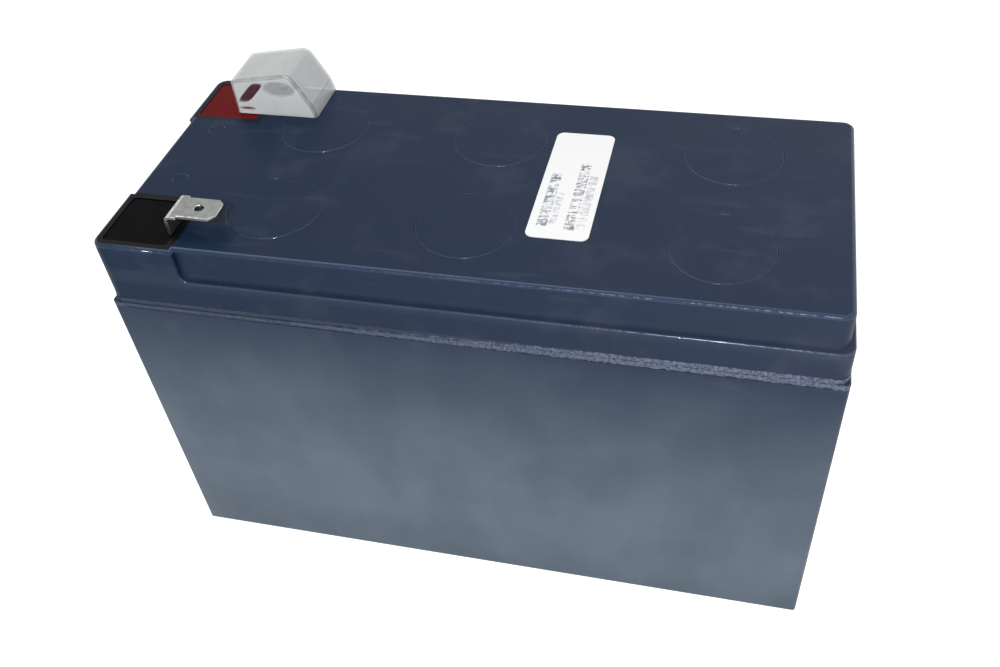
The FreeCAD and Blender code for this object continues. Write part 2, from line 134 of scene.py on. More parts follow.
# Stage, in metres and watts: each lamp's name, power, width and place
LAMPS = (
    ("key_lamp", 5.0, 0.05, (0.08, -0.62, 0.62)),
    ("front_lamp", 0.2, 0.5, (0.05, -0.85, 0.20)),
    ("top_lamp", 1.8, 0.6, (-0.2, 0.35, 0.9)),
)
FLOOR_COLOUR = (0.85, 0.85, 0.85, 1)
FLOOR_GLOW = 0.62
SENSOR_WIDTH = 36.0
CLIP_START = 0.01


def colour_property(name, description, default):
    """Colour setting, linear."""
    return FloatVectorProperty(
        name=name,
        description=description,
        default=default,
        subtype="COLOR",
        size=3,
        min=0.0,
        max=1.0,
    )


def length_property(name, description, default):
    """Length setting, in metres."""
    return FloatProperty(
        name=name, description=description, default=default, unit="LENGTH", precision=5
    )


def factor_property(name, description, default):
    """Setting from 0 to 1."""
    return FloatProperty(
        name=name, description=description, default=default, subtype="FACTOR", min=0.0, max=1.0
    )


class BatteryCaseSettings(bpy.types.PropertyGroup):
    """Moulded case, lid and vent covers."""

    plastic: colour_property("Plastic", "Dark slate blue of the case", (0.0055, 0.0170, 0.044))
    # painted light: the white floor's light on the container is painted as a lighter colour, with
    # its amount and its share just below the joint
    painted_floor_light: colour_property("Haze", "Dusty bloom on the container", (0.140, 0.181, 0.222))
    painted_floor_light_amount: factor_property("Haze amount", "How much bloom the case's foot has", 0.87)
    painted_floor_light_at_rim: factor_property("Haze at rim", "Share of the bloom just below the joint", 0.18)
    # pale colour of rub marks, and also the colour of the lid's painted sheen and painted light
    scuff_and_painted_light: colour_property("Scuff", "Pale rub marks", (0.16, 0.18, 0.24))
    # dust with painted sheen: the lid is lightened towards the end away from the terminals
    dust: factor_property("Dust", "Dust on the lid at the end away from the terminals", 0.135)
    gloss: factor_property("Gloss", "How strongly the plastic reflects", 0.08)
    edge_gloss: factor_property("Edge gloss", "How strongly the polished edges reflect", 0.60)
    edge_tint: colour_property(
        "Edge tint", "Colour of what the polished edges reflect", (0.55, 0.68, 1.0)
    )
    smear: colour_property(
        "Smear", "Black resin wiped over the blocks round the pockets", (0.0025, 0.0027, 0.003)
    )
    smear_width: length_property("Smear width", "How far it reaches from a pocket", 0.0015)
    # painted light: the shade on the lid's ledge is lifted with a paler colour
    ledge_painted_light: factor_property("Corner dust", "Dust that gathers on the lid's ledge", 0.07)
    roughness: factor_property("Roughness", "Roughness of the clean plastic", 0.36)
    edge_roughness: factor_property("Edge roughness", "Roughness of the polished edges", 0.12)
    ledge_depth: length_property("Ledge depth", "Lid panel down to the ledge round it", 0.0079)
    corner_radius: length_property("Corner radius", "Lid's upright corners", 0.00275)
    dimple_depth: length_property("Dimple depth", "Moulding dimples by the blocks", 0.0002)
    edge_rounding: length_property("Edge rounding", "Round of the lid's ledge", 0.00035)
    rim_rounding: length_property("Rim rounding", "Round at pockets, vents and dimples", 0.00018)
    cover_rounding: length_property("Cover rounding", "Round edge of a vent cover", 0.00018)
    cover_growth: length_property("Cover growth", "How far a cover fills its gap", 0.00003)
    cover_segments: IntProperty(
        name="Cover segments", description="Sides of a cover", default=96, min=24
    )


class BatterySeamSettings(bpy.types.PropertyGroup):
    """Resin that shows at the joint of lid and container."""

    resin: colour_property("Resin", "Smooth squeezed-out resin", (0.016, 0.028, 0.056))
    crumbs: colour_property("Crumbs", "Pale broken skin of the resin", (0.155, 0.175, 0.260))
    band_height: length_property("Band height", "Resin that shows at the joint", 0.0025)
    band_depth: length_property("Band depth", "Depth of the shown resin in the walls", 0.0004)
    corner_radius: length_property("Corner radius", "Resin's outer upright corners", 0.003)
    skin_depth: length_property("Skin depth", "Middle of the skin inside the case", 0.00008)
    skin_drop: length_property("Skin drop", "Middle of the skin below the joint's", 0.0005)
    crumb_height: length_property("Crumb height", "Relief of the broken skin", 0.00020)
    crumb_size: length_property("Crumb size", "Size of one crumb", 0.0009)
    step: length_property("Step", "Spacing of the band's points", 0.0005)


class BatteryLabelSettings(bpy.types.PropertyGroup):
    """White sticker with two columns of grey marks."""

    paper: colour_property("Paper", "White of the sticker", (0.97, 0.97, 0.97))
    ink: colour_property("Ink", "Grey of the printed fields", (0.11, 0.135, 0.19))


class BatteryTerminalSettings(bpy.types.PropertyGroup):
    """Blades, poured resin and hood."""

    tin: colour_property("Tin", "Plating of the blades", (0.245, 0.252, 0.245))
    # painted highlight: lighter tin on the blades' rounded edges
    tin_edge_highlight: colour_property("Tin edge", "Burnished edges of the blades", (0.66, 0.67, 0.66))
    negative: colour_property(
        "Negative", "Resin round the negative blade", (0.0020, 0.0022, 0.0026)
    )
    positive: colour_property(
        "Positive", "Resin round the positive blade", (0.130, 0.0075, 0.0080)
    )
    hood: colour_property("Hood", "Milky clear plastic of the hood", (0.88, 0.91, 0.91))
    # painted shade: darker colour on the hood's upward faces
    hood_top_shade: colour_property("Hood top", "The same where it is clearer", (0.58, 0.61, 0.61))
    # painted shade: grey on the hood's rounded edges
    hood_rim_shade: colour_property("Hood rim", "Its rounded edges", (0.34, 0.36, 0.36))
    # painted light: red of the resin seen through the hood's clear patches
    hood_painted_red: colour_property(
        "Hood glow", "Red resin seen in the hood's clear patches", (0.10, 0.016, 0.030)
    )
    hood_alpha: factor_property("Hood opacity", "How milky one face of the hood is", 0.62)
    blade_rounding: length_property("Blade rounding", "Round of the stamped edges", 0.00016)


class BatteryCellSettings(bpy.types.PropertyGroup):
    """Lead, paste, mats and rubber inside the case."""

    lead: colour_property("Lead", "Cast lead", (0.20, 0.21, 0.23))
    positive_paste: colour_property("Positive paste", "Lead dioxide", (0.07, 0.035, 0.025))
    negative_paste: colour_property("Negative paste", "Sponge lead", (0.22, 0.23, 0.25))
    mat: colour_property("Mat", "Glass fibre mat", (0.80, 0.80, 0.76))
    rubber: colour_property("Rubber", "Valve caps", (0.02, 0.02, 0.02))


class BatteryStageSettings(bpy.types.PropertyGroup):
    """Floor, world and camera."""

    floor_size: length_property("Floor size", "Width of the floor", 6.0)
    camera_place: FloatVectorProperty(
        name="Camera place",
        description="Where the camera stands",
        default=(0.05170, -0.16763, 0.21908),
        subtype="TRANSLATION",
        size=3,
    )
    camera_turn: FloatVectorProperty(
        name="Camera turn",
        description="Camera rotation",
        default=(math.radians(45.674), math.radians(4.065), math.radians(13.220)),
        subtype="EULER",
        size=3,
    )
    lens: FloatProperty(
        name="Lens", description="Focal length in millimetres", default=36.80, min=1.0
    )
    sky: FloatProperty(
        name="Sky", description="Strength of the room's light", default=0.305, min=0.0
    )


class Finish:
    """Node material that is built up round one Principled shader."""

    def __init__(self, name, **uniform):
        self.material = bpy.data.materials.new(name)
        self.material.use_nodes = True
        self.tree = self.material.node_tree
        self.shader = self.tree.nodes["Principled BSDF"]
        for label, value in uniform.items():
            self.set(self.shader, label.replace("_", " "), value)
        place = self.add("ShaderNodeTexCoord")
        self.normal = place.outputs["Normal"]
        self.place = self.add(
            "ShaderNodeVectorMath", {0: place.outputs["Object"], "Scale": 1 / MM}, operation="SCALE"
        ).outputs[0]

    def set(self, made, label, value):
        """Gives an input a value or links another node's output to it."""
        socket = made.inputs[label]
        if isinstance(value, bpy.types.NodeSocket):
            self.tree.links.new(value, socket)
        else:
            socket.default_value = value

    def finish(self, colour, bumps, roughness=None):
        """Sets colour, relief and roughness. `bumps` has (height, depth in millimetres) layers."""
        self.set(self.shader, "Base Color", colour)
        if roughness is not None:
            self.set(self.shader, "Roughness", roughness)
        normal = None
        for height, depth in bumps:
            made = self.add(
                "ShaderNodeBump", {"Height": height, "Distance": depth * MM, "Strength": 1.0}
            )
            if normal:
                self.set(made, "Normal", normal)
            normal = made.outputs[0]
        self.set(self.shader, "Normal", normal)
        return self.material

    def add(self, kind, inputs=None, **settings):
        """New node with its settings and inputs."""
        made = self.tree.nodes.new(kind)
        for label, value in settings.items():
            setattr(made, label, value)
        for label, value in (inputs or {}).items():
            self.set(made, label, value)
        return made

    def axes(self, vector):
        """X, Y and Z of a vector."""
        return self.add("ShaderNodeSeparateXYZ", {0: vector}).outputs

    def math(self, operation, a, b=0.0):
        """One sum on one or two numbers."""
        return self.add("ShaderNodeMath", {0: a, 1: b}, operation=operation).outputs[0]

    def times(self, first, *others):
        """Product of numbers."""
        for other in others:
            first = self.math("MULTIPLY", first, other)
        return first

    def grain(self, size, detail=3.0, roughness=0.55, stretch=(1, 1, 1), shift=(0, 0, 0)):
        """Noise from 0 to 1 whose features are about `size` millimetres."""
        place = self.add(
            "ShaderNodeMapping", {"Vector": self.place, "Scale": stretch, "Location": shift}
        )
        inputs = {
            "Vector": place.outputs[0], "Scale": 1 / size, "Detail": detail, "Roughness": roughness
        }
        return self.add("ShaderNodeTexNoise", inputs).outputs[0]

    def spread(self, value, low, high, to_low=0.0, to_high=1.0, kind="SMOOTHSTEP"):
        """Stretches low..high of a number to another range, and holds the ends."""
        inputs = {
            "Value": value, "From Min": low, "From Max": high, "To Min": to_low, "To Max": to_high
        }
        return self.add("ShaderNodeMapRange", inputs, interpolation_type=kind).outputs[0]

    def clouds(self, size, low, high, to_low=0.0, to_high=1.0, kind="SMOOTHSTEP", **grain):
        """Noise of which low..high is stretched to another range."""
        return self.spread(self.grain(size, **grain), low, high, to_low, to_high, kind)

    def window(self, value, low, high):
        """1 between two limits and 0 outside them."""
        above = self.math("GREATER_THAN", value, low)
        return self.times(above, self.math("LESS_THAN", value, high))

    def mix(self, amount, first, second):
        """Colour between two colours."""
        made = self.add("ShaderNodeMix", data_type="RGBA")
        for socket, value in zip(MIX_INPUTS, (amount, first, second)):
            self.set(made, socket, value)
        return made.outputs[MIX_OUTPUT]


def opaque(colour):
    """Colour with full alpha for a socket."""
    return (*colour, 1.0)


def rubbed(made, settings, base, dust=0.0):
    """Dust and faint streaks and specks of rubbing over a plastic's colour; on the lid the dust
    amount also carries painted sheen and painted light by the ledge.
    """
    stretch = (0.22, 1.0, 1.0)
    streaks = made.clouds(size=5.0, low=0.58, high=0.74, detail=4.0, roughness=0.6, stretch=stretch)
    patches = made.clouds(size=11.0, low=0.52, high=0.74)
    specks = made.clouds(size=0.45, low=0.70, high=0.78, detail=2.0)
    rubs_dust_and_light = made.times(made.math("ADD", streaks, patches), RUB_AMOUNT)
    rubs_dust_and_light = made.math("ADD", rubs_dust_and_light, made.times(specks, SPECK_AMOUNT))
    # on the lid this adds dust with painted sheen and painted light by the ledge
    rubs_dust_and_light = made.math("ADD", rubs_dust_and_light, dust)
    return made.mix(rubs_dust_and_light, base, opaque(settings.scuff_and_painted_light))


def smeared(made, settings, base):
    """Blackens a colour on top of the blocks, round the two resin pockets."""
    x, y, z = made.axes(made.place)
    top = made.math("GREATER_THAN", z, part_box("lid")[1].z / MM - TOP_PLAY)
    ragged = made.clouds(size=1.4, low=0.3, high=0.7, to_low=-0.25, to_high=0.25, kind="LINEAR")
    reach = settings.smear_width / MM
    for name, amount in SMEARS:
        low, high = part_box(name)
        beyond = []
        for axis, place in ((0, x), (1, y)):
            half = (high[axis] - low[axis]) / 2 / MM
            off = made.math("SUBTRACT", place, (high[axis] + low[axis]) / 2 / MM)
            beyond.append(made.math("SUBTRACT", made.math("ABSOLUTE", off), half))
        beyond = made.math("ADD", made.math("MAXIMUM", *beyond), ragged)
        near = made.spread(
            beyond, reach - SMEAR_BLUR, reach + SMEAR_BLUR, to_low=amount, to_high=0.0
        )
        base = made.mix(made.times(near, top), base, opaque(settings.smear))
    return base


def lid_dust_and_light(made, settings):
    """Amount of dust and painted light on the lid: dust with painted sheen that grows away from the
    terminals, and painted light that lifts the shade by the ledge.
    """
    low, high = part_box("lid")
    x, _, z = made.axes(made.place)
    far = made.spread(x, low.x / MM, high.x / MM, kind="LINEAR")
    ledge = (high.z - settings.ledge_depth) / MM
    off = made.math("ABSOLUTE", made.math("SUBTRACT", z, ledge))
    near = made.spread(off, low=0.2, high=2.6, to_low=settings.ledge_painted_light, to_high=0.0)
    return made.math("ADD", made.times(far, settings.dust), near)


def floor_lit(made, settings, base, top):
    """Painted light of the white floor over a colour, broken up by clouds, strongest a little above
    the case's foot.
    """
    z = made.axes(made.place)[2]
    share = made.math("POWER", made.math("DIVIDE", z, top / MM), FLOOR_LIGHT_CURVE)
    height = made.spread(share, 0.0, 1.0, to_low=1.0, to_high=settings.painted_floor_light_at_rim, kind="LINEAR")
    clouds = made.clouds(size=24.0, low=0.32, high=0.68, to_low=0.88, to_high=1.09, detail=2.0)
    running = {"detail": 2.0, "roughness": 0.5, "stretch": (1.0, 1.0, 0.35)}
    streams = made.clouds(size=7.0, low=0.3, high=0.7, to_low=0.95, to_high=1.05, **running)
    foot = made.spread(z, low=0.0, high=25.0, to_low=0.84, to_high=1.0)
    floor_light = made.times(made.times(height, clouds), made.times(streams, foot))
    return made.mix(made.times(floor_light, settings.painted_floor_light_amount), base, opaque(settings.painted_floor_light))


def plastic_finish(name, settings, floor_light_top=None):
    """Satin plastic with faint rub marks, with painted floor light below a height, or as a lid
    dusty with painted sheen and painted light, and smeared.
    """
    made = Finish(name, Specular_IOR_Level=settings.gloss)
    base = opaque(settings.plastic)
    if floor_light_top is None:
        base = rubbed(made, settings, base, lid_dust_and_light(made, settings))
        base = smeared(made, settings, base)
    else:
        base = floor_lit(made, settings, base, floor_light_top)
        base = rubbed(made, settings, base)
    glossiest = settings.roughness - 0.06
    dullest = settings.roughness + 0.10
    dull = made.clouds(size=14.0, low=0.3, high=0.7, to_low=glossiest, to_high=dullest)
    fine = made.grain(size=0.35, detail=2.0)
    wide = made.grain(size=6.0, detail=1.0)
    return made.finish(base, ((fine, 0.012), (wide, 0.03)), dull)


def polished_finish(settings):
    """The same plastic on moulded edges, which handling has polished in specks."""
    made = Finish(
        "edge_plastic",
        Specular_IOR_Level=settings.edge_gloss,
        Specular_Tint=opaque(settings.edge_tint),
    )
    base = rubbed(made, settings, opaque(settings.plastic), lid_dust_and_light(made, settings))
    base = smeared(made, settings, base)
    specks = made.clouds(size=0.9, low=0.35, high=0.65, roughness=0.6)
    glossiest = settings.edge_roughness - 0.04
    dullest = settings.edge_roughness + 0.16
    dull = made.spread(specks, 0.0, 1.0, to_low=glossiest, to_high=dullest)
    return made.finish(base, ((made.grain(size=0.6), 0.005),), dull)


def seam_finish(settings, low, high, rim):
    """Resin whose pale broken skin is thin at the terminal end and widens towards the other."""
    made = Finish("seam_resin", Specular_IOR_Level=0.25, Roughness=0.5)
    x, _, z = made.axes(made.place)
    width = made.spread(x, low / MM, high / MM, to_low=0.10)
    half = made.times(width, settings.band_height / MM / 2 + SKIN_PLAY)
    off = made.math("ABSOLUTE", made.math("SUBTRACT", z, (rim - settings.skin_drop) / MM))
    uneven = made.clouds(size=1.1, low=0.3, high=0.7, to_low=-0.35, to_high=0.35, kind="LINEAR")
    ragged = made.math("ADD", off, uneven)
    inside = made.spread(made.math("SUBTRACT", half, ragged), low=-0.1, high=0.15)
    size = settings.crumb_size / MM * CRUMB_SPECK
    crumbs = made.clouds(size, low=0.36, high=0.62, to_low=0.15, detail=4.0, roughness=0.7)
    thickness = made.spread(x, low / MM, high / MM, to_low=0.25)
    amount = made.times(crumbs, inside, thickness)
    colour = made.mix(amount, opaque(settings.resin), opaque(settings.crumbs))
    relief = made.grain(size=0.4, detail=4.0, roughness=0.7)
    return made.finish(colour, ((relief, 0.08),))


def label_finish(settings, low, high):
    """White film with two columns of small grey marks."""
    made = Finish("label_film", Roughness=0.45, Specular_IOR_Level=0.4)
    x, y, _ = made.axes(made.place)
    across = made.spread(x, low.x / MM, high.x / MM, kind="LINEAR")
    along = made.spread(y, high.y / MM, low.y / MM, kind="LINEAR")
    upright = {"detail": 2.0, "roughness": 0.5, "stretch": (0.16, 1.0, 1.0)}
    strokes = made.clouds(size=0.50, low=0.42, high=0.50, **upright)
    gaps = {"detail": 1.0, "roughness": 0.5, "stretch": (1.0, 0.8, 1.0), "shift": (3.0, 5.0, 0.0)}
    breaks = made.clouds(size=0.8, low=0.38, high=0.46, **gaps)
    marks = made.times(strokes, breaks)
    field = None
    for left, right, start, end, ink in FIELDS:
        inside = made.times(made.window(across, left, right), made.window(along, start, end), ink)
        field = inside if field is None else made.math("MAXIMUM", field, inside)
    faded = made.clouds(size=1.6, low=0.35, high=0.65, to_low=0.45, detail=2.0)
    amount = made.times(marks, field, faded, INK_AMOUNT)
    fibres = made.clouds(size=0.8, low=0.3, high=0.7, to_high=0.03, detail=2.0)
    paper = made.mix(fibres, opaque(settings.paper), opaque(settings.ink))
    colour = made.mix(amount, paper, opaque(settings.ink))
    return made.finish(colour, ((made.grain(size=2.5, detail=2.0), 0.02),))


def tin_finish(settings):
    """Satin tin plating with faint drawing lines and dull spots."""
    made = Finish("blade_tin", Metallic=1.0)
    lines = made.grain(size=0.25, roughness=0.6, stretch=(0.06, 1.0, 1.0))
    spots = made.clouds(size=1.6, low=0.45, high=0.75)
    dark = tuple(DULL_TIN * part for part in settings.tin)
    colour = made.mix(spots, opaque(settings.tin), opaque(dark))
    dull = made.spread(lines, low=0.2, high=0.8, to_low=0.30, to_high=0.46)
    return made.finish(colour, ((lines, 0.006), (made.grain(size=0.9, detail=2.0), 0.012)), dull)


def tin_highlight_finish(settings):
    """Tin with a painted highlight that lightens the stamped blades' bend and edges."""
    made = Finish("blade_edge_highlight", Metallic=1.0)
    spots = made.clouds(size=0.8, low=0.4, high=0.7)
    colour = made.mix(spots, opaque(settings.tin_edge_highlight), opaque(settings.tin))
    dull = made.clouds(size=0.5, low=0.3, high=0.7, to_low=0.16, to_high=0.30, detail=2.0)
    return made.finish(colour, ((made.grain(size=0.5, detail=2.0), 0.004),), dull)


def resin_finish(name, colour):
    """Poured glossy resin with a slightly wavy, dusty surface."""
    made = Finish(name, Specular_IOR_Level=0.02)
    dust = made.clouds(size=0.7, low=0.58, high=0.75, to_high=0.04, detail=4.0, roughness=0.7)
    pale = tuple(min(1.0, part + RESIN_DUST) for part in colour)
    colour = made.mix(dust, opaque(colour), opaque(pale))
    dull = made.clouds(size=3.0, low=0.3, high=0.7, to_low=0.16, to_high=0.34, detail=2.0)
    waves = made.grain(size=4.0, detail=2.0)
    fine = made.grain(size=0.6, detail=2.0)
    return made.finish(colour, ((waves, 0.10), (fine, 0.006)), dull)


def hood_finish(settings, low):
    """Thin milky clear plastic, with painted shade that darkens its upward faces, and clearer
    patches in the front beside the resin, into which the red of the resin is painted.
    """
    made = Finish("hood_plastic", IOR=1.49, Specular_IOR_Level=0.5)
    x, y, z = made.axes(made.place)
    facing = made.math("ABSOLUTE", made.axes(made.normal)[2])
    clouds = made.clouds(size=5.0, low=0.3, high=0.7, to_high=0.20)
    # painted shade on the faces that look up, with random clouds
    shade = made.math("ADD", clouds, made.spread(facing, low=0.2, high=0.8, to_high=0.75))
    colour = made.mix(shade, opaque(settings.hood), opaque(settings.hood_top_shade))
    edge = made.add("ShaderNodeLayerWeight", {"Blend": 0.35}).outputs["Facing"]
    veil = made.spread(edge, low=0.35, high=1.0, to_low=settings.hood_alpha, to_high=0.95)
    fade_start, fade_end = (low.y / MM + depth for depth in HOOD_FRONT)
    front = made.spread(y, fade_start, fade_end, to_low=1.0, to_high=0.0)
    for along, up, wide, tall, lean, sharp, left, paints_red in PATCHES:
        rise = made.math("SUBTRACT", z, low.z / MM + up)
        run = made.math("SUBTRACT", x, low.x / MM + along)
        run = made.math("SUBTRACT", run, made.times(rise, lean))
        run = made.math("POWER", made.math("ABSOLUTE", made.math("DIVIDE", run, wide)), sharp)
        rise = made.math("POWER", made.math("ABSOLUTE", made.math("DIVIDE", rise, tall)), sharp)
        reach = made.math("ADD", run, rise)
        patch = made.times(made.spread(reach, low=0.6, high=1.4, to_low=1.0, to_high=0.0), front)
        veil = made.times(veil, made.spread(patch, 0.0, 1.0, to_low=1.0, to_high=left))
        # painted red light of the resin seen through the patch
        if paints_red:
            colour = made.mix(patch, colour, opaque(settings.hood_painted_red))
    made.set(made.shader, "Alpha", veil)
    dull = made.clouds(size=2.0, low=0.3, high=0.7, to_low=0.10, to_high=0.24, detail=2.0)
    return made.finish(colour, ((made.grain(size=4.5, detail=2.0), 0.06),), dull)


def hood_shaded_edge_finish(settings):
    """Rounded edges of the hood, with painted shade that greys them where the eye looks along the
    plastic.
    """
    made = Finish("hood_shaded_edge", IOR=1.49, Specular_IOR_Level=0.7, Alpha=0.42)
    clouds = made.clouds(size=1.5, low=0.35, high=0.65)
    colour = made.mix(clouds, opaque(settings.hood_rim_shade), opaque(settings.hood_top_shade))
    dull = made.clouds(size=1.0, low=0.3, high=0.7, to_low=0.08, to_high=0.20, detail=2.0)
    return made.finish(colour, ((made.grain(size=1.5, detail=2.0), 0.03),), dull)


def rough_finish(name, colour, size, depth, roughness, metallic=0.0):
    """Plain rough stuff whose colour varies with its grain."""
    made = Finish(name, Roughness=roughness, Metallic=metallic)
    grain = made.grain(size, detail=4.0, roughness=0.65)
    dark = tuple(DARK_GRAIN * part for part in colour)
    return made.finish(made.mix(grain, opaque(dark), opaque(colour)), ((grain, depth),))


def dress(names, material):
    """Gives carried nodes their finish."""
    for name in names:
        slots = NODES[name].data.materials
        slots.clear()
        slots.append(material)


def numbered(name, numbers=CELLS):
    """Names of a repeated node."""
    return [f"{name}_{number}" for number in numbers]


def make_piece(name, build, materials, replaced):
    """Object from a bmesh, riding on the battery, with its finish and the nodes it stands for."""
    mesh = bpy.data.meshes.new(name)
    bmesh.ops.recalc_face_normals(build, faces=build.faces)
    build.to_mesh(mesh)
    build.free()
    for material in materials:
        mesh.materials.append(material)
    piece = bpy.data.objects.new(name, mesh)
    bpy.context.scene.collection.objects.link(piece)
    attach(piece, "root")
    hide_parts(*replaced)


def merged_copy(name):
    """A node's mesh as a new bmesh of whole flat faces."""
    build = bmesh.new()
    build.from_mesh(NODES[name].data)
    bmesh.ops.remove_doubles(build, verts=build.verts, dist=MERGE)
    bmesh.ops.dissolve_limit(build, angle_limit=FLAT, verts=build.verts, edges=build.edges)
    build.normal_update()
    return build


def round_edges(build, edges, offset, segments=2, clamp=True):
    """Bevels some edges of a bmesh."""
    bmesh.ops.bevel(
        build,
        geom=edges,
        offset=offset,
        offset_type="OFFSET",
        affect="EDGES",
        segments=segments,
        profile=0.5,
        material=-1,
        clamp_overlap=clamp,
    )


def smooth_curves(build, edge_slot=0):
    """Shades smooth what faces along no axis, and may give rounded edges a slot of their own."""
    build.normal_update()
    for face in build.faces:
        face.smooth = max(abs(part) for part in face.normal) < FACING
        if face.smooth and abs(face.normal.z) > LEANING:
            face.material_index = edge_slot


def outline_depth(point, high, radius):
    """How deep a point lies inside an upright outline with round corners about the origin."""
    across = abs(point.x) - high.x + radius
    along = abs(point.y) - high.y + radius
    if across > 0 and along > 0:
        return radius - math.hypot(across, along)
    return radius - max(across, along)


def sharp_edges(build):
    """Edges between two faces that meet at a clear angle."""
    return [edge for edge in build.edges if edge.is_manifold and edge.calc_face_angle() > SHARP]


def edges_at(build, level):
    """Sharp edges that lie at a height."""
    return [
        edge
        for edge in sharp_edges(build)
        if all(abs(point.co.z - level) < NEAR for point in edge.verts)
    ]


def ledge_edges(build, level, high, radius):
    """Sharp edges of the lid's upright outside, along the ledge and up the terminal blocks."""
    return [
        edge
        for edge in sharp_edges(build)
        if edge.is_convex
        and all(
            level - NEAR < point.co.z < high.z - NEAR
            and outline_depth(point.co, high, radius) < NEAR
            for point in edge.verts
        )
    ]


class BATTERY_OT_case(bpy.types.Operator):
    """Gives the container and the lid their satin plastic, and the lid its rounded edges"""

    bl_idname = "battery.case"
    bl_label = "Case"

    def execute(self, context):
        settings = context.scene.battery_case
        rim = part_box("seam_sealant")[0].z
        dress(["container"], plastic_finish("container_plastic", settings, rim))
        material = plastic_finish("lid_plastic", settings)
        dress(["lid"], material)
        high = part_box("lid")[1]
        build = merged_copy("lid")
        ledge = ledge_edges(build, high.z - settings.ledge_depth, high, settings.corner_radius)
        round_edges(build, ledge, settings.edge_rounding, segments=3, clamp=False)
        round_edges(build, edges_at(build, high.z), settings.rim_rounding)
        round_edges(build, edges_at(build, high.z - settings.dimple_depth), settings.rim_rounding)
        smooth_curves(build, EDGE_SLOT)
        materials = (material, polished_finish(settings))
        make_piece("lid_moulding", build, materials, ["lid"])
        return {"FINISHED"}


class BATTERY_OT_vent_covers(bpy.types.Operator):
    """Makes the six flush vent covers with a rounded edge"""

    bl_idname = "battery.vent_covers"
    bl_label = "Vent covers"

    def execute(self, context):
        settings = context.scene.battery_case
        materials = (bpy.data.materials["lid_plastic"], bpy.data.materials["edge_plastic"])
        for number in CELLS:
            name = f"vent_cover_{number}"
            low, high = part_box(name)
            radius = (high.x - low.x) / 2 + settings.cover_growth
            build = bmesh.new()
            bmesh.ops.create_cone(
                build,
                cap_ends=True,
                segments=settings.cover_segments,
                radius1=radius,
                radius2=radius,
                depth=high.z - low.z,
                matrix=Matrix.Translation((low + high) / 2),
            )
            build.normal_update()
            round_edges(build, edges_at(build, high.z), settings.cover_rounding, segments=3)
            smooth_curves(build, EDGE_SLOT)
            make_piece(f"vent_disc_{number}", build, materials, [name])
        return {"FINISHED"}


def cut_up(build, faces, low, high, step):
    """Cuts faces by planes across X, Y and Z that stand a step apart, and gives their points."""
    geometry = faces + list({edge for face in faces for edge in face.edges})
    geometry += list({point for face in faces for point in face.verts})
    for axis in range(3):
        count = math.ceil((high[axis] - low[axis]) / step)
        for index in range(1, count):
            place = Vector((0, 0, 0))
            place[axis] = low[axis] + index * (high[axis] - low[axis]) / count
            normal = Vector((0, 0, 0))
            normal[axis] = 1
            cut = bmesh.ops.bisect_plane(
                build, geom=geometry, dist=MERGE, plane_co=place, plane_no=normal
            )
            geometry = cut["geom"]
    return [part for part in geometry if isinstance(part, bmesh.types.BMVert)]


def crumble(point, settings, low, high, top):
    """Moves a point of the band to the resin's broken skin. Points at the case's corners stay."""
    place = point.co.copy()
    sides = [
        axis for axis in range(2) if high[axis] - abs(place[axis]) < settings.corner_radius
    ]
    if len(sides) == 2:
        return
    run = (place.x - low.x) / (high.x - low.x) * CRUMB_GROWTH
    height = settings.crumb_height * (CRUMB_LEAST + (1 - CRUMB_LEAST) * min(1.0, max(0.0, run)))
    crumb = place / settings.crumb_size
    relief = COARSE_SHARE * noise.noise(crumb) + FINE_SHARE * noise.noise(crumb * FINE_SCALE)
    depth = settings.skin_depth + height * relief
    inward = max(depth, NEAR) - max(outline_depth(place, high, settings.corner_radius), 0)
    shift = Vector((0, 0, 0))
    for axis in sides:
        shift[axis] = -math.copysign(inward, place[axis])
    lift = height * noise.noise(crumb * LIFT_SCALE + LIFT_SHIFT)
    if place.z < low.z + MERGE:
        shift.z = abs(lift)
    elif place.z > top - MERGE:
        shift.z = lift
    point.co += shift


class BATTERY_OT_seam(bpy.types.Operator):
    """Roughens the band of resin round the joint of lid and container"""

    bl_idname = "battery.seam"
    bl_label = "Seam band"

    def execute(self, context):
        settings = context.scene.battery_seam
        low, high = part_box("seam_sealant")
        rim = low.z + settings.band_height / 2
        top = low.z + settings.band_height
        material = seam_finish(settings, low.x * SKIN_SPAN, high.x * SKIN_SPAN, rim)
        dress(["seam_sealant"], material)
        build = merged_copy("seam_sealant")
        band = [
            face
            for face in build.faces
            if all(
                point.co.z < top + MERGE
                and outline_depth(point.co, high, settings.corner_radius) < settings.band_depth
                for point in face.verts
            )
        ]
        band_high = Vector((high.x, high.y, top))
        for point in cut_up(build, band, low, band_high, settings.step):
            crumble(point, settings, low, high, top)
        smooth_curves(build)
        make_piece("seam_band", build, [material], ["seam_sealant"])
        return {"FINISHED"}


class BATTERY_OT_label(bpy.types.Operator):
    """Gives the sticker its white film and grey fields"""

    bl_idname = "battery.label"
    bl_label = "Label"

    def execute(self, context):
        dress(["label"], label_finish(context.scene.battery_label, *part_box("label")))
        return {"FINISHED"}


class BATTERY_OT_terminals(bpy.types.Operator):
    """Gives the blades their tin and rounded edges with a painted highlight, and the pockets their
    black and red resin
    """

    bl_idname = "battery.terminals"
    bl_label = "Terminals"

    def execute(self, context):
        settings = context.scene.battery_terminals
        tin = tin_finish(settings)
        highlighted_tin = tin_highlight_finish(settings)
        for side in ("negative", "positive"):
            dress([f"{side}_tab"], tin)
            build = merged_copy(f"{side}_tab")
            round_edges(build, sharp_edges(build), settings.blade_rounding)
            smooth_curves(build, EDGE_SLOT)
            make_piece(f"{side}_blade", build, [tin, highlighted_tin], [f"{side}_tab"])
        dress(["negative_seal"], resin_finish("negative_resin", settings.negative))
        dress(["positive_seal"], resin_finish("positive_resin", settings.positive))
        return {"FINISHED"}


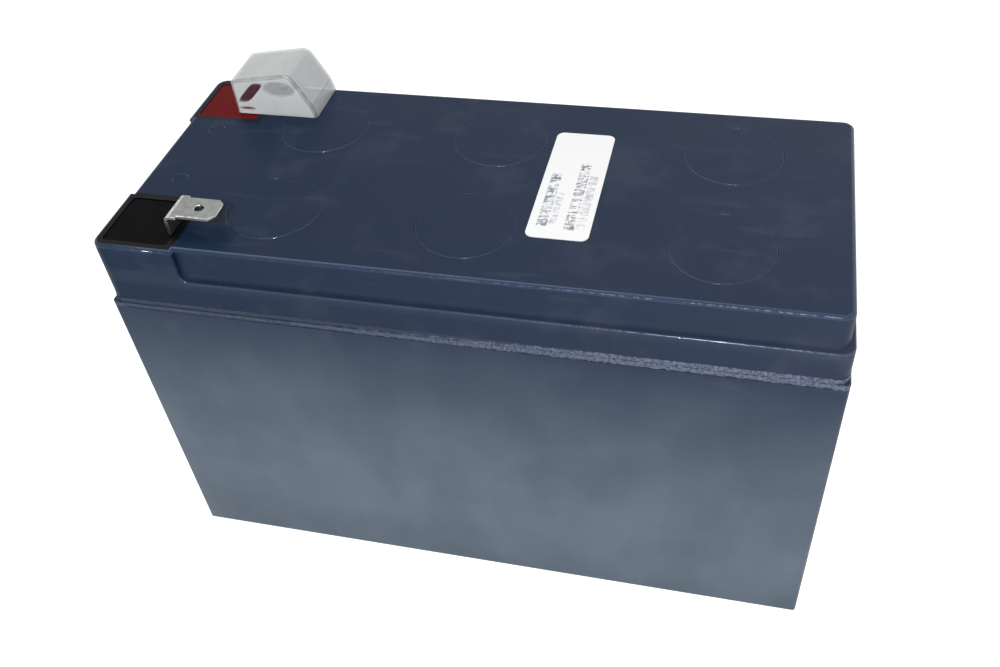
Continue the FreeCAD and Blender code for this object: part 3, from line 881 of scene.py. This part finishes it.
class BATTERY_OT_hood(bpy.types.Operator):
    """Gives the terminal hood its milky clear plastic"""

    bl_idname = "battery.hood"
    bl_label = "Terminal hood"

    def execute(self, context):
        settings = context.scene.battery_terminals
        material = hood_finish(settings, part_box("terminal_hood")[0])
        dress(["terminal_hood"], material)
        build = merged_copy("terminal_hood")
        smooth_curves(build)
        for face in build.faces:
            if face.smooth and face.calc_area() < EDGE_STRIP * face.calc_perimeter():
                face.material_index = EDGE_SLOT
        materials = (material, hood_shaded_edge_finish(settings))
        make_piece("hood_shell", build, materials, ["terminal_hood"])
        return {"FINISHED"}


class BATTERY_OT_cells(bpy.types.Operator):
    """Gives the plates, mats, lead and valves inside the case their finishes"""

    bl_idname = "battery.cells"
    bl_label = "Cells"

    def execute(self, context):
        settings = context.scene.battery_cells
        lead = rough_finish(
            "cast_lead", settings.lead, size=0.8, depth=0.05, roughness=0.55, metallic=0.6
        )
        dress(["negative_post", "positive_post"] + numbered("cell_link", CELL_LINKS), lead)
        positive = rough_finish(
            "positive_paste", settings.positive_paste, size=0.4, depth=0.05, roughness=0.85
        )
        dress(numbered("positive_plates"), positive)
        negative = rough_finish(
            "negative_paste", settings.negative_paste, size=0.4, depth=0.05, roughness=0.75
        )
        dress(numbered("negative_plates"), negative)
        mat = rough_finish("glass_mat", settings.mat, size=0.3, depth=0.10, roughness=0.95)
        dress(numbered("separators"), mat)
        rubber = rough_finish("valve_rubber", settings.rubber, size=0.5, depth=0.02, roughness=0.65)
        dress(numbered("vent_valve"), rubber)
        return {"FINISHED"}


def background_shader(tree, white, plain):
    """Mix of a white for the camera, gloss and glass, and what lights the rest."""
    rays = tree.nodes.new("ShaderNodeLightPath").outputs
    share = rays["Is Camera Ray"]
    for name in ("Is Transmission Ray", "Is Glossy Ray"):
        either = tree.nodes.new("ShaderNodeMath")
        either.operation = "MAXIMUM"
        tree.links.new(share, either.inputs[0])
        tree.links.new(rays[name], either.inputs[1])
        share = either.outputs[0]
    mix = tree.nodes.new("ShaderNodeMixShader")
    tree.links.new(share, mix.inputs[0])
    tree.links.new(plain, mix.inputs[1])
    tree.links.new(white, mix.inputs[2])
    return mix.outputs[0]


def floor_finish():
    """White that the camera sees as the room's white, and that lights the battery from below."""
    material = bpy.data.materials.new("floor_white")
    material.use_nodes = True
    tree = material.node_tree
    tree.nodes.clear()
    output = tree.nodes.new("ShaderNodeOutputMaterial")
    diffuse = tree.nodes.new("ShaderNodeBsdfDiffuse")
    diffuse.inputs["Color"].default_value = FLOOR_COLOUR
    glow = tree.nodes.new("ShaderNodeEmission")
    glow.inputs["Strength"].default_value = FLOOR_GLOW
    both = tree.nodes.new("ShaderNodeAddShader")
    tree.links.new(diffuse.outputs[0], both.inputs[0])
    tree.links.new(glow.outputs[0], both.inputs[1])
    surface = background_shader(tree, both.outputs[0], diffuse.outputs[0])
    tree.links.new(surface, output.inputs[0])
    return material


def make_floor(scene, width, level):
    """Flat floor under the battery."""
    build = bmesh.new()
    bmesh.ops.create_grid(build, x_segments=1, y_segments=1, size=width / 2)
    bmesh.ops.translate(build, verts=build.verts, vec=(0, 0, level))
    mesh = bpy.data.meshes.new("floor")
    build.to_mesh(mesh)
    build.free()
    mesh.materials.append(floor_finish())
    floor = bpy.data.objects.new("floor", mesh)
    scene.collection.objects.link(floor)


def make_world(scene, sky):
    """White room that is dimmer as a light than the camera sees it."""
    world = bpy.data.worlds.new("room")
    world.use_nodes = True
    scene.world = world
    tree = world.node_tree
    tree.nodes.clear()
    output = tree.nodes.new("ShaderNodeOutputWorld")
    room = tree.nodes.new("ShaderNodeBackground")
    white = tree.nodes.new("ShaderNodeBackground")
    for shader in (room, white):
        shader.inputs["Color"].default_value = WHITE
    room.inputs["Strength"].default_value = sky
    surface = background_shader(tree, white.outputs[0], room.outputs[0])
    tree.links.new(surface, output.inputs[0])


def make_lamp(scene, name, power, size, place, target):
    """Soft square lamp that looks at a point."""
    data = bpy.data.lights.new(name, "AREA")
    data.energy = power
    data.size = size
    lamp = bpy.data.objects.new(name, data)
    scene.collection.objects.link(lamp)
    lamp.location = place
    lamp.rotation_euler = (target - place).to_track_quat("-Z", "Y").to_euler()


def make_camera(scene, settings):
    """Camera of the stage's settings."""
    data = bpy.data.cameras.new("camera")
    data.lens = settings.lens
    data.sensor_width = SENSOR_WIDTH
    data.clip_start = CLIP_START
    camera = bpy.data.objects.new("camera", data)
    scene.collection.objects.link(camera)
    camera.location = settings.camera_place
    camera.rotation_euler = Euler(settings.camera_turn, "XYZ")
    scene.camera = camera


class BATTERY_OT_stage(bpy.types.Operator):
    """Makes the white floor, the room's light, the lamps and the camera"""

    bl_idname = "battery.stage"
    bl_label = "Stage"

    def execute(self, context):
        scene = context.scene
        settings = scene.battery_stage
        low, high = CAD_BOX
        make_floor(scene, settings.floor_size, low.z)
        make_world(scene, settings.sky)
        for name, power, size, place in LAMPS:
            make_lamp(scene, name, power, size, Vector(place), (low + high) / 2)
        make_camera(scene, settings)
        scene.view_settings.view_transform = "Standard"
        return {"FINISHED"}


class BATTERY_PT_panel(bpy.types.Panel):
    """Lists the battery's settings and steps."""

    bl_idname = "BATTERY_PT_panel"
    bl_label = "Backup Power Battery"
    bl_space_type = "VIEW_3D"
    bl_region_type = "UI"
    bl_category = "Battery"

    def draw(self, context):
        layout = self.layout
        for label in SETTINGS:
            box = layout.box()
            settings = getattr(context.scene, label)
            for name in settings.bl_rna.properties.keys():
                if name not in {"rna_type", "name"}:
                    box.prop(settings, name)
        for step in STEPS:
            layout.operator(step.bl_idname)


SETTINGS = {
    "battery_case": BatteryCaseSettings,
    "battery_seam": BatterySeamSettings,
    "battery_label": BatteryLabelSettings,
    "battery_terminals": BatteryTerminalSettings,
    "battery_cells": BatteryCellSettings,
    "battery_stage": BatteryStageSettings,
}
STEPS = (
    BATTERY_OT_case,
    BATTERY_OT_vent_covers,
    BATTERY_OT_seam,
    BATTERY_OT_label,
    BATTERY_OT_terminals,
    BATTERY_OT_hood,
    BATTERY_OT_cells,
    BATTERY_OT_stage,
)


def register():
    """Adds the settings, steps and panel to Blender."""
    for label, group in SETTINGS.items():
        bpy.utils.register_class(group)
        setattr(bpy.types.Scene, label, PointerProperty(type=group))
    for step in STEPS:
        bpy.utils.register_class(step)
    bpy.utils.register_class(BATTERY_PT_panel)


def unregister():
    """Takes them out again."""
    bpy.utils.unregister_class(BATTERY_PT_panel)
    for step in reversed(STEPS):
        bpy.utils.unregister_class(step)
    for label, group in SETTINGS.items():
        delattr(bpy.types.Scene, label)
        bpy.utils.unregister_class(group)


def main():
    """Dresses the battery step by step."""
    register()
    for step in STEPS:
        group, name = step.bl_idname.split(".")
        getattr(getattr(bpy.ops, group), name)()


if __name__ == "__main__":
    main()
